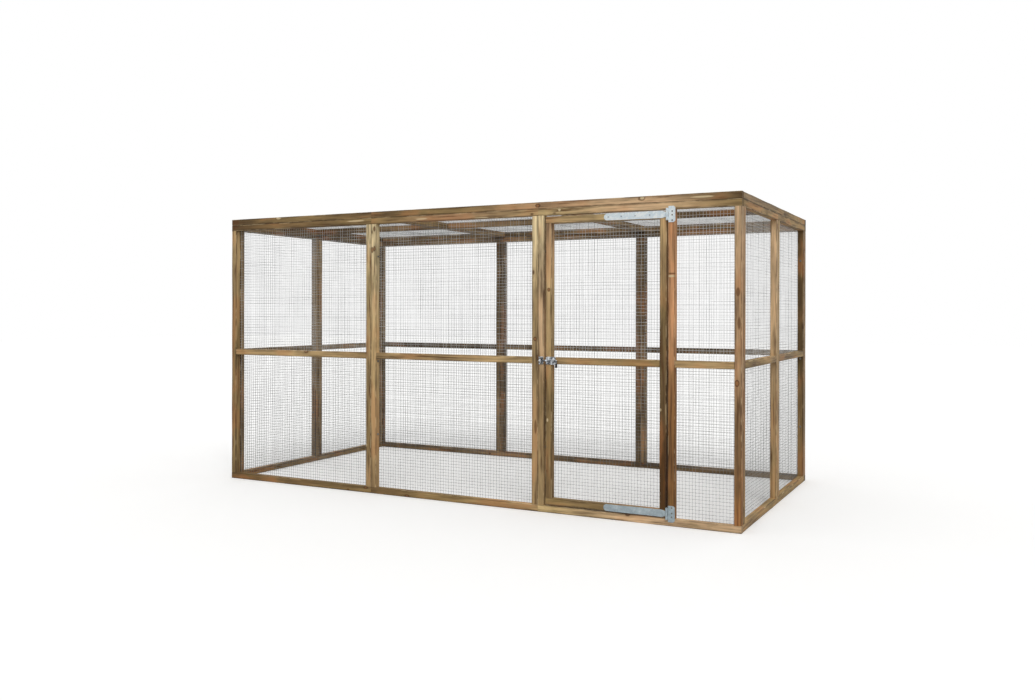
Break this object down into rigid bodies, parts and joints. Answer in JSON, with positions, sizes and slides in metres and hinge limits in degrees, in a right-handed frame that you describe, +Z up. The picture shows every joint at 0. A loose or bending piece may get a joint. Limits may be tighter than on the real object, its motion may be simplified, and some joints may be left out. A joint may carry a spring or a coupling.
{
  "type": "pet run",
  "caption": "Free-standing walk-in pet run of timber-framed wire mesh panels with a meshed roof, a door on long strap hinges and a sliding bolt.",
  "frame": {"origin": "middle of the footprint, on the ground", "axes": "+X along the length to the right as seen from the door side, the door faces -Y, +Z up"},
  "size_m": [3.63, 1.8115, 1.83],
  "materials": {
    "wall_timber": "pressure-treated sawn softwood",
    "roof_timber": "pressure-treated sawn softwood",
    "door_timber": "pressure-treated sawn softwood",
    "galvanised_mesh": "dull galvanised wire",
    "galvanised_plate": "hot-dip galvanised",
    "black_knob": "moulded, matt",
    "zinc_screw": "dull zinc plate"
  },
  "bodies": {
    "frame": {"front_left_corner_stiles": "wall_timber", "front_right_corner_stiles": "wall_timber", "back_left_corner_stiles": "wall_timber", "back_right_corner_stiles": "wall_timber", "front_left_join_stiles": "wall_timber", "front_right_join_stiles": "wall_timber", "back_left_join_stiles": "wall_timber", "back_right_join_stiles": "wall_timber", "left_join_stiles": "wall_timber", "right_join_stiles": "wall_timber", "roof_left_join_stiles": "roof_timber", "roof_right_join_stiles": "roof_timber", "front_bottom_rails": "wall_timber", "front_mid_rails": "wall_timber", "front_eaves_timbers": "roof_timber", "back_bottom_rails": "wall_timber", "back_mid_rails": "wall_timber", "back_eaves_timbers": "roof_timber", "left_bottom_rails": "wall_timber", "left_mid_rails": "wall_timber", "left_eaves_timbers": "roof_timber", "right_bottom_rails": "wall_timber", "right_mid_rails": "wall_timber", "right_eaves_timbers": "roof_timber", "roof_mid_rails": "roof_timber", "beside_door_rail": "wall_timber", "front_left_mesh": "galvanised_mesh", "front_middle_mesh": "galvanised_mesh", "beside_door_mesh": "galvanised_mesh", "back_right_mesh": "galvanised_mesh", "back_middle_mesh": "galvanised_mesh", "back_left_mesh": "galvanised_mesh", "right_front_mesh": "galvanised_mesh", "right_back_mesh": "galvanised_mesh", "left_back_mesh": "galvanised_mesh", "left_front_mesh": "galvanised_mesh", "roof_left_mesh": "galvanised_mesh", "roof_middle_mesh": "galvanised_mesh", "roof_right_mesh": "galvanised_mesh", "door_post": "wall_timber", "hinge_flange_top": "galvanised_plate", "hinge_pin_top": "galvanised_plate", "hinge_flange_bottom": "galvanised_plate", "hinge_pin_bottom": "galvanised_plate", "bolt_keeper": "galvanised_plate", "wall_screws": "zinc_screw", "roof_screws": "zinc_screw", "frame_hardware_screws": "zinc_screw"},
    "door": {"door_latch_stile": "door_timber", "door_hinge_stile": "door_timber", "door_top_rail": "door_timber", "door_mid_rail": "door_timber", "door_bottom_rail": "door_timber", "door_mesh": "galvanised_mesh", "hinge_strap_top": "galvanised_plate", "hinge_strap_bottom": "galvanised_plate", "bolt_plate": "galvanised_plate", "door_hardware_screws": "zinc_screw"},
    "bolt": {"bolt_rod": "galvanised_plate", "bolt_knob": "black_knob"}
  },
  "joints": [
    {"name": "door_swing", "type": "hinge", "parent": "frame", "child": "door", "pos_m": [1.4012, -0.90205, 0.8935], "axis": [0, 0, 1], "range_deg": [0, 165]},
    {"name": "bolt_slide", "type": "slide", "parent": "door", "child": "bolt", "axis": [-1, 0, 0], "range_m": [0, 0.028]}
  ]
}
